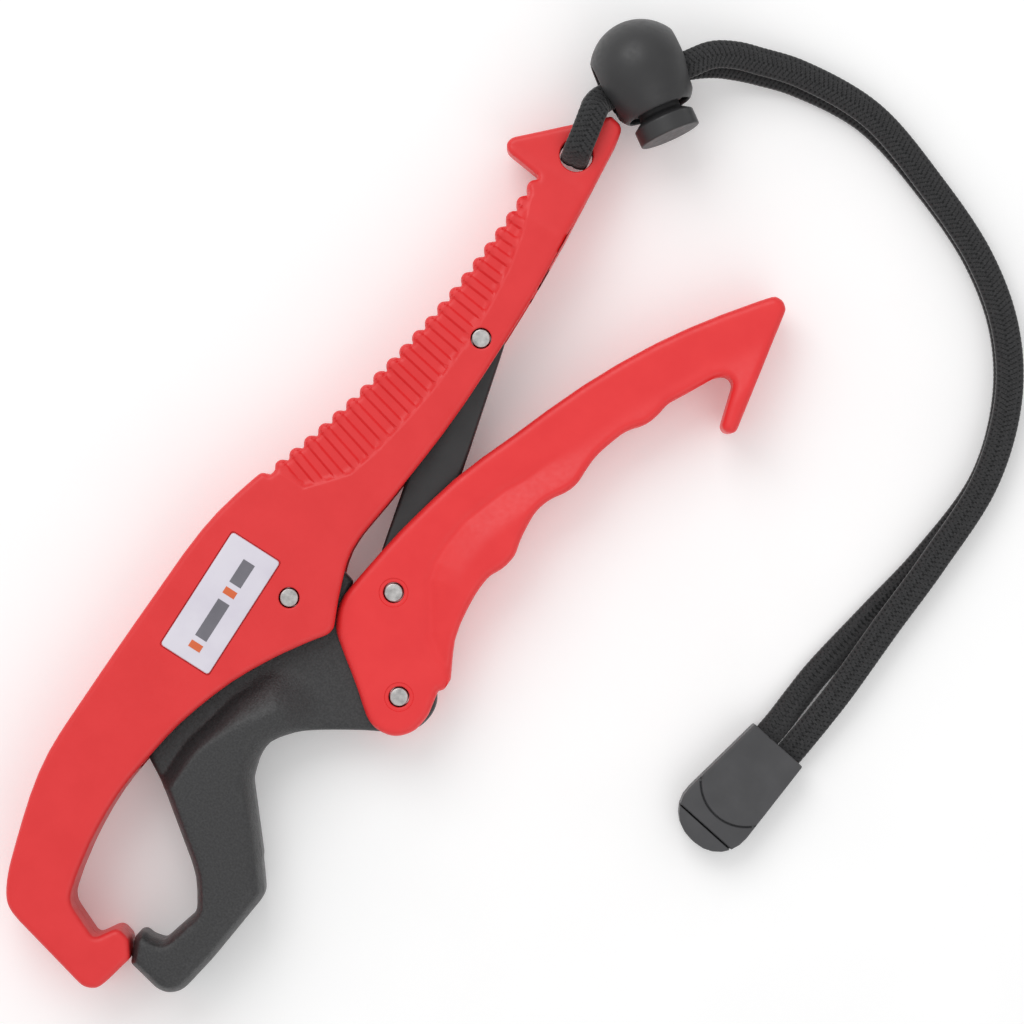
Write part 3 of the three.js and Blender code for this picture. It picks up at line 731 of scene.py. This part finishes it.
# ---- turned pieces --------------------------------------------------------------------------
def lathe(profile, steps, matrix):
    """Points and faces of a piece turned about Z, from (radius, height) pairs that end on the axis."""
    points, faces = [], []
    rows = []
    for r, z in profile:
        if r < 1e-6:
            rows.append([len(points)] * steps)
            points.append(matrix @ Vector((0, 0, z)))
            continue
        rows.append(list(range(len(points), len(points) + steps)))
        points += [matrix @ Vector((r * math.cos(2 * math.pi * k / steps),
                                    r * math.sin(2 * math.pi * k / steps), z)) for k in range(steps)]
    for low, high in zip(rows, rows[1:]):
        for k in range(steps):
            n = (k + 1) % steps
            face = [low[k], low[n], high[n], high[k]]
            face = [v for i, v in enumerate(face) if v not in face[:i]]
            if len(face) > 2:
                faces.append(tuple(face))
    return points, faces


def arc(centre, radius, start, stop, count):
    """(r, z) pairs round a centre, in degrees from the r axis."""
    return [(centre[0] + radius * math.cos(math.radians(start + (stop - start) * k / count)),
             centre[1] + radius * math.sin(math.radians(start + (stop - start) * k / count)))
            for k in range(count + 1)]


PIN = {"r": 2.2, "round": 0.3, "dome": 0.06}
for node, body in (("jaw_pivot_pin", "root"), ("link_body_pin", "root"), ("lever_pivot_pin", "jaw"),
                   ("link_lever_pin", "lever")):
    low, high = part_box(node)
    centre = (Vector(low) + Vector(high)) / 2
    half = (high[2] - low[2]) / 2 / MM
    side = [(0, half)] + [(r, half - PIN["dome"] * (r / PIN["r"]) ** 2) for r in (0.6, 1.2, 1.6)]
    side += arc((PIN["r"] - PIN["round"], half - PIN["dome"] - PIN["round"]), PIN["round"], 90, 0, 5)
    profile = [(r, -z) for r, z in side] + [(r, z) for r, z in reversed(side)]
    at = (centre - PIVOT) / MM
    points, faces = lathe(profile, 48, Matrix.Translation(at))
    make(f"{node}_turned", points, faces, "steel", body, [node])

# ---- label ----------------------------------------------------------------------------------
LABEL_TOP = 20.3


def slab_piece(loop, low, high, edge=0.5, crown=0.0):
    """A film with a rounded top rim and a slightly crowned face, from one loop."""
    loop = np.array(loop)
    centre = loop.mean(axis=0)
    points, rows = [], []
    steps = [(0, low), (0, high - edge)]
    steps += [(edge * (1 - math.cos(a)), high - edge * (1 - math.sin(a)))
              for a in (math.radians(d) for d in (25, 50, 70, 90))]
    for inset, z in steps:
        rows.append(list(range(len(points), len(points) + len(loop))))
        away = loop - centre
        shrink = 1 - inset / np.linalg.norm(away, axis=1)
        points += [(*(centre + q * s), z) for q, s in zip(away, shrink)]
    for k in range(1, 7):
        t = 1 - k / 7
        rows.append(list(range(len(points), len(points) + len(loop))))
        points += [(*(centre + q * t * 0.97), high + crown * (1 - t**4)) for q in loop - centre]
    faces = [tuple(reversed(rows[0])), tuple(rows[-1])]
    for a, b in zip(rows, rows[1:]):
        for k in range(len(loop)):
            n = (k + 1) % len(loop)
            faces.append((a[k], a[n], b[n], b[k]))
    return points, faces


points, faces = slab_piece(rectangle(LABEL["size"]), LABEL_TOP - 0.7, LABEL_TOP, edge=0.45, crown=0.1)
make("label_film", points, faces, "label", "root", ["label_plate"])


def bar(across, along, wide, long):
    """A printed bar's loop, in the label's own directions."""
    corners = ((-1, -1), (1, -1), (1, 1), (-1, 1))
    return [on_label(across + sx * wide / 2, along + sy * long / 2) for sx, sy in corners]


BARS = [("ink_orange", 0.6, -11.8, 3.2, 1.8), ("ink_grey", 0.6, -4.4, 3.2, 10.4),
        ("ink_orange", 0.6, 3.4, 3.2, 1.8), ("ink_grey", 0.6, 8.8, 3.2, 6.4)]
for number, (ink, across, along, wide, long) in enumerate(BARS, 1):
    points, faces = slab_piece(bar(across, along, wide, long), LABEL_TOP + 0.02, LABEL_TOP + 0.13, edge=0.03)
    make(f"label_print_{number}", points, faces, ink, "root")


# ---- cord lock --------------------------------------------------------------------------------
LOCK = {"at": (9.6, 152.7, 12.35), "turn": 54, "tilt": 5, "r": 12.3, "facet": 10.7, "bore": 7.1,
        "mouth": 7.7, "mouth_depth": 8.6, "rim": 11.1, "bore_end": 8.7}
CORD_SLOT = {"r": 5.4, "near": -5.5, "far": 8.8}
lock_frame = (Matrix.Translation(LOCK["at"]) @ Matrix.Rotation(math.radians(LOCK["turn"]), 4, "Z")
              @ Matrix.Rotation(math.radians(-LOCK["tilt"]), 4, "X"))
OUTWARDS = Matrix.Rotation(math.radians(90), 4, "X")  # Z becomes -Y, out through the button


def loose(name, points, faces):
    """An object for cutting with, in metres at the origin, in no body."""
    mesh = bpy.data.meshes.new(name)
    mesh.from_pydata([Vector(p) * MM for p in points], [], faces)
    piece = bpy.data.objects.new(name, mesh)
    bpy.context.collection.objects.link(piece)
    return piece


def carved(shape, cutters, voxel, smoothing):
    """A solid with others taken out of it, remeshed so that every rim is softly rounded."""
    for cutter in cutters:
        cut = shape.modifiers.new("cut", "BOOLEAN")
        cut.object, cut.solver = cutter, "MANIFOLD"
    grain = shape.modifiers.new("even", "REMESH")
    grain.mode, grain.voxel_size = "VOXEL", voxel * MM
    ease_out = shape.modifiers.new("soft", "SMOOTH")
    ease_out.factor, ease_out.iterations = 0.5, smoothing
    bpy.context.view_layer.update()
    baked = shape.evaluated_get(bpy.context.evaluated_depsgraph_get()).to_mesh()
    points = [tuple(v.co / MM) for v in baked.vertices]
    faces = [tuple(f.vertices) for f in baked.polygons]
    for piece in [shape, *cutters]:
        bpy.data.objects.remove(piece)
    return points, faces


def prism(loop, low, high, matrix):
    """Points and faces of a straight solid from a loop in its own XY plane."""
    count = len(loop)
    points = [matrix @ Vector((x, y, z)) for z in (low, high) for x, y in loop]
    faces = [tuple(reversed(range(count))), tuple(range(count, 2 * count))]
    faces += [(k, (k + 1) % count, count + (k + 1) % count, count + k) for k in range(count)]
    return points, faces


def stadium(low, high, r, count=14):
    """A loop with straight sides along X and round ends, from low to high."""
    right = [(high - r + r * math.cos(a), r * math.sin(a))
             for a in (math.pi * (k / count - 0.5) for k in range(count + 1))]
    left = [(low + r + r * math.cos(a), r * math.sin(a))
            for a in (math.pi * (k / count + 0.5) for k in range(count + 1))]
    return right + left


ball_profile = [(0, -LOCK["r"])] + [(LOCK["r"] * math.sin(a), -LOCK["r"] * math.cos(a)) for a in
                                    (math.pi * 0.58 * k / 40 for k in range(1, 41))]
ball_profile += [(11.6, 4.3), (11.3, 5.4), (10.95, 6.4), (10.5, 7.4), (10.1, 8.3), (9.7, 9.1), (9.3, 9.75),
                 (8.9, 10.3), (8.5, 10.8), (8.2, LOCK["rim"]), (0, LOCK["rim"])]
ball = loose("ball_blank", *lathe(ball_profile, 96, OUTWARDS))
cutters = [loose("bore", *lathe([(0, -LOCK["bore_end"]), (LOCK["bore"], -LOCK["bore_end"]),
                                 (LOCK["bore"], 15), (0, 15)], 64, OUTWARDS)),
           loose("mouth", *lathe([(0, LOCK["mouth_depth"]), (LOCK["mouth"], LOCK["mouth_depth"]),
                                  (LOCK["mouth"], 15), (0, 15)], 64, OUTWARDS))]
slot_frame = Matrix.Rotation(math.radians(-90), 4, "Z") @ OUTWARDS
cutters.append(loose("slot", *prism(stadium(CORD_SLOT["near"], CORD_SLOT["far"], CORD_SLOT["r"]),
                                    -15, 15, slot_frame)))
square = [(-15, -15), (15, -15), (15, 15), (-15, 15)]
for side in (-1, 1):
    ends = sorted((side * LOCK["facet"], side * 20))
    cutters.append(loose("flat", *prism(square, *ends, Matrix.Rotation(math.radians(90), 4, "Y"))))
points, faces = carved(ball, cutters, 0.3, 4)
ball = make("cord_lock_ball", [lock_frame @ Vector(p) for p in points], faces, "lock", "root",
            ["lock_ball"], sharp=50)

PLUNGER = {"r": 6.8, "inner": 5.4, "outer": 10, "neck": 5.25, "disc": 7.6, "disc_at": 12.2, "end": 17.7}
PINCH = {"near": -1.1, "far": 9.3, "high": 3.9}
plunger_profile = [(0, -PLUNGER["inner"]), (PLUNGER["r"], -PLUNGER["inner"]),
                   (PLUNGER["r"], PLUNGER["outer"]), (PLUNGER["neck"], PLUNGER["outer"]),
                   (PLUNGER["neck"], PLUNGER["disc_at"] - 0.2),
                   (PLUNGER["disc"], PLUNGER["disc_at"] + 1.4), (PLUNGER["disc"], PLUNGER["end"] - 0.15),
                   (PLUNGER["disc"] - 0.15, PLUNGER["end"]),
                   (0, PLUNGER["end"])]
blank = loose("plunger_blank", *lathe(plunger_profile, 96, OUTWARDS))
pinch = [(PINCH["near"], -PINCH["high"]), (PINCH["far"], -PINCH["high"]), (PINCH["far"], PINCH["high"]),
         (PINCH["near"], PINCH["high"])]
points, faces = carved(blank, [loose("pinch", *prism(pinch, -15, 15, slot_frame))], 0.25, 2)
plunger = make("cord_lock_button", [lock_frame @ Vector(p) for p in points], faces, "lock", "plunger",
               ["lock_plunger"], sharp=50)

# ---- end clip ---------------------------------------------------------------------------------
CLIP = {"mouth": (120.5, 27.9), "turn": 168.1, "hinge": 26.7, "thick": 8, "lid_at": 4.15}
clip_frame = (Matrix.Translation((*CLIP["mouth"], 0))
              @ Matrix.Rotation(math.radians(CLIP["turn"]), 4, "Z"))
clip_back = clip_frame.inverted()
ARCH = {"side": 9.0, "at": 18.2, "apex": 22.9}


def in_clip(p):
    """Plan places in the clip's own frame, Y from its mouth to its round end."""
    flat = np.array(clip_back)[:2]
    return p @ flat[:, :2].T + flat[:, 3]


arch_rise = ARCH["apex"] - ARCH["at"]
ARCH_R = (ARCH["side"] ** 2 + arch_rise**2) / (2 * arch_rise)


def lid_level(p):
    q = in_clip(p)
    from_arch = np.hypot(q[:, 0], q[:, 1] - (ARCH["apex"] - ARCH_R)) - ARCH_R
    inner = q[:, 1] > ARCH["at"] - 1.5
    groove = np.exp(-((from_arch / 0.17) ** 2)) * inner
    return CLIP["thick"] - 0.55 * groove - 0.12 * ease((from_arch + 0.2) / 0.4) * inner


def arch_dots():
    """Rows of places along the lid's arched groove."""
    rows = []
    for off in (-0.7, -0.34, -0.17, 0, 0.17, 0.34, 0.7):
        for a in np.radians(np.arange(36, 145, 1.4)):
            rows.append(clip_frame @ Vector(((ARCH_R + off) * math.cos(a),
                                             ARCH["apex"] - ARCH_R + (ARCH_R + off) * math.sin(a), 0)))
    return np.array([tuple(v)[:2] for v in rows])


def near_arch(p):
    q = in_clip(p)
    return np.abs(np.hypot(q[:, 0], q[:, 1] - (ARCH["apex"] - ARCH_R)) - ARCH_R) < 0.9


points, faces = relief(Plan("clip_lid"), lid_level, 0.5, CLIP["lid_at"], fine=near_arch,
                       step=0.7, grid=1.0, sooth=False, dots=arch_dots())
lid = make("clip_lid_moulding", points, faces, "clip", "lid", ["clip_lid"])


def beveled(node, name, finish, body, width, angle=40):
    """A CAD piece's own solid with its flat faces joined up and its edges rounded."""
    bm = bmesh.new()
    bm.from_mesh(frame["nodes"][node].data)
    bmesh.ops.remove_doubles(bm, verts=bm.verts, dist=1e-6)
    bmesh.ops.dissolve_limit(bm, angle_limit=math.radians(1), verts=bm.verts, edges=bm.edges)
    edges = [e for e in bm.edges if e.calc_face_angle(0) > math.radians(angle)]
    bmesh.ops.bevel(bm, geom=edges, offset=width * MM, segments=4, profile=0.5, affect="EDGES",
                    clamp_overlap=True)
    points = [(v.co - PIVOT) / MM for v in bm.verts]
    bm.verts.index_update()
    faces = [tuple(v.index for v in f.verts) for f in bm.faces]
    bm.free()
    return make(name, points, faces, finish, body, [node])


base = beveled("clip_base", "clip_base_moulding", "clip", "root", 0.5)

# ---- lanyard ------------------------------------------------------------------------------------
LACE = {"wide": 7.2, "thick": 3.3, "row": 1.25, "rib": 0.3, "step": 0.25, "around": 44}
ROUTES = {
    "front": [
        (6.5, 125.9, 10.3), (6.5, 125.9, 13), (6.45, 126.4, 15.6), (6.2, 128.3, 17.9), (5.8, 131.4, 18.7),
        (5.3, 134.8, 18.8), (4.8, 138, 18.1), (4.8, 140.3, 16.3), (5.8, 142.6, 14.6),
        (8.5, 146.5, 14.25), (11.6, 150.8, 14.25), (15.1, 154.8, 14.25), (18.7, 159.3, 13.8),
        (22.8, 164.6, 11.9), (27.8, 167.6, 9.8), (33.4, 169.4, 7.9), (43.6, 171.9, 6), (63.2, 172, 5.4),
        (84.4, 164.5, 5.4), (104.1, 154.7, 5.4), (117.9, 143, 5.4), (127, 128.6, 5.4),
        (132, 109, 5.4), (130.9, 85.3, 5.4), (128.8, 66.2, 5.4), (126.9, 46.7, 5.4),
        (125.9, 39.4, 5), (124.7, 31.5, 4), (123.8, 26.6, 3.7), (121.6, 16.4, 3.7),
    ],
    "rear": [
        (6.5, 125.9, 9.7), (6.5, 125.9, 7), (6.45, 126.4, 4.4), (6.2, 128.3, 2.3), (5.8, 131.4, 1.9),
        (5.3, 134.8, 1.8), (4.8, 137.9, 1.9), (4.2, 140, 5.8), (5.2, 142.5, 10.2),
        (8.5, 146.5, 10.5), (11.6, 150.8, 10.5), (14.9, 155, 10.6), (18.6, 159, 10.1),
        (23.9, 163, 8.4), (29.2, 165.6, 6.1), (34.8, 167.6, 4.2), (44, 170, 2.3), (63, 170.8, 1.7),
        (84.3, 164.1, 1.7), (103.9, 154.5, 1.7), (117.7, 142.9, 1.7), (126.8, 128.5, 1.7),
        (131.8, 109, 1.7), (129.2, 85.5, 1.7), (124.8, 67, 1.7), (120.2, 47.7, 1.7),
        (119.1, 40.6, 2), (118, 33, 3.2), (117.1, 28.4, 3.7), (114.9, 17.9, 3.7),
    ],
}


def centripetal(route, step):
    """Evenly spaced points on a centripetal Catmull-Rom curve through a route."""
    p = np.array(route, float)
    p = np.vstack([2 * p[0] - p[1], p, 2 * p[-1] - p[-2]])
    out = []
    for k in range(1, len(p) - 2):
        a, b, c, d = p[k - 1 : k + 3]
        t0 = 0.0
        t1 = t0 + np.linalg.norm(b - a) ** 0.5
        t2 = t1 + np.linalg.norm(c - b) ** 0.5
        t3 = t2 + np.linalg.norm(d - c) ** 0.5
        for t in np.linspace(t1, t2, 40, endpoint=False):
            a1 = (t1 - t) / (t1 - t0) * a + (t - t0) / (t1 - t0) * b
            a2 = (t2 - t) / (t2 - t1) * b + (t - t1) / (t2 - t1) * c
            a3 = (t3 - t) / (t3 - t2) * c + (t - t2) / (t3 - t2) * d
            b1 = (t2 - t) / (t2 - t0) * a1 + (t - t0) / (t2 - t0) * a2
            b2 = (t3 - t) / (t3 - t1) * a2 + (t - t1) / (t3 - t1) * a3
            out.append((t2 - t) / (t2 - t1) * b1 + (t - t1) / (t2 - t1) * b2)
    out = np.array(out + [p[-2]])
    run = np.concatenate([[0], np.cumsum(np.linalg.norm(np.diff(out, axis=0), axis=1))])
    even = np.linspace(0, run[-1], round(run[-1] / step) + 1)
    return np.stack([np.interp(even, run, out[:, i]) for i in range(3)], axis=1), run[-1]


def strand(name, route, node):
    """A flat tubular knit: a rounded section with a chevron column down its middle, its grooves painted
    darker as shade.
    """
    line, length = centripetal(route, LACE["step"])
    ahead = np.gradient(line, axis=0)
    ahead /= np.linalg.norm(ahead, axis=1)[:, None]
    side = np.stack([-ahead[:, 1], ahead[:, 0], np.zeros(len(line))], axis=1)
    size = np.linalg.norm(side, axis=1)
    for k in range(len(line) - 2, -1, -1):
        if size[k] < 0.45:
            side[k] = side[k + 1]
    side /= np.linalg.norm(side, axis=1)[:, None]
    above = np.cross(ahead, side)
    above /= np.linalg.norm(above, axis=1)[:, None]
    side = np.cross(above, ahead)
    around = LACE["around"]
    angle = 2 * np.pi * np.arange(around) / around
    u = np.sign(np.cos(angle)) * np.abs(np.cos(angle)) ** 0.85
    v = np.sign(np.sin(angle)) * np.abs(np.sin(angle)) ** 0.75
    run = np.arange(len(line)) * length / (len(line) - 1)
    wide, thick = LACE["wide"] / 2 - LACE["rib"], LACE["thick"] / 2 - LACE["rib"]
    phase = run[:, None] / LACE["row"] + 0.9 * np.abs(u)[None] * 1.6
    purl = np.abs(np.cos(np.pi * phase)) ** 0.7
    wale = np.abs(np.cos(np.pi * u * 3.5))[None] ** 0.7
    edge = np.abs(u)[None] ** 6
    swell = LACE["rib"] * (purl * (1 - 0.5 * edge) * 0.6 + 0.4 * wale)
    middle = 0.25 * np.exp(-((u / 0.12) ** 2))[None]
    out_u = u[None] * (wide + swell)
    out_v = v[None] * (thick + swell) - np.sign(v)[None] * middle
    points = (line[:, None] + side[:, None] * out_u[..., None] + above[:, None] * out_v[..., None])
    flat = [tuple(p) for p in points.reshape(-1, 3)]
    faces = []
    for k in range(len(line) - 1):
        for j in range(around):
            n = (j + 1) % around
            faces.append((k * around + j, k * around + n, (k + 1) * around + n, (k + 1) * around + j))
    faces.append(tuple(reversed(range(around))))
    faces.append(tuple(range((len(line) - 1) * around, len(line) * around)))
    piece = make(name, flat, faces, "lace", "root", [node], sharp=80)
    # painted shade: faces deep in the knit's grooves get the darker yarn, as the shade between the stitches
    piece.data.materials.append(FINISHES["lace_painted_groove_shade"])
    depth = (purl * 0.6 + 0.4 * wale - 1.2 * middle)[:-1].ravel()
    gaps = np.append((depth < 0.5).astype(int), [0, 0])
    if len(piece.data.polygons) == len(gaps):
        piece.data.polygons.foreach_set("material_index", gaps)
    path = [tuple(metres(p)) for p in line[::6]] + [tuple(metres(line[-1]))]
    return piece, length, path


for name, route in ROUTES.items():
    piece, length, path = strand(f"lanyard_{name}_lace", route, f"lanyard_{name}_strand")

# ---- what is left of the CAD: plain hidden pieces ------------------------------------------------
for node, finish in (("link_sleeve_rear", "steel"), ("link_sleeve_front", "steel"),
                     ("return_spring", "steel"), ("lock_spring", "steel"),
                     ("handle_float_core_lower", "foam"), ("handle_float_core_upper", "foam"),
                     ("jaw_float_core", "foam")):
    cad = frame["nodes"][node]
    for k in range(len(cad.material_slots)):
        cad.material_slots[k].material = FINISHES[finish]

# ---- floor and light --------------------------------------------------------------------------------
floor_mesh = bpy.data.meshes.new("floor")
floor_mesh.from_pydata([(-3, -3, -0.0002), (3, -3, -0.0002), (3, 3, -0.0002), (-3, 3, -0.0002)], [],
                       [(0, 1, 2, 3)])
floor = bpy.data.objects.new("floor", floor_mesh)
bpy.context.collection.objects.link(floor)
paper = Finish("white_paper")
paper.between(paper.noise(40, 3), (0.94, 0.94, 0.94), (0.96, 0.96, 0.96), "Base Color")
paper.shader.inputs["Roughness"].default_value = 0.9
paper.shader.inputs["Emission Color"].default_value = (1, 1, 1, 1)
paper.shader.inputs["Emission Strength"].default_value = 0.12
floor_mesh.materials.append(paper.material)

world = bpy.data.worlds.new("studio")
bpy.context.scene.world = world
world.use_nodes = True
world.node_tree.nodes["Background"].inputs["Color"].default_value = (1, 1, 1, 1)
world.node_tree.nodes["Background"].inputs["Strength"].default_value = 0.7


def softbox(name, at, size, power):
    """A square area light that faces the middle of the grip."""
    data = bpy.data.lights.new(name, "AREA")
    data.size, data.energy = size, power
    lamp = bpy.data.objects.new(name, data)
    lamp.location = at
    lamp.rotation_euler = (-Vector(at)).to_track_quat("-Z", "Y").to_euler()
    bpy.context.collection.objects.link(lamp)


softbox("key", (-0.75, 0.55, 1.0), 0.9, 5.5)
softbox("fill", (0.9, -0.4, 1.1), 1.0, 2)
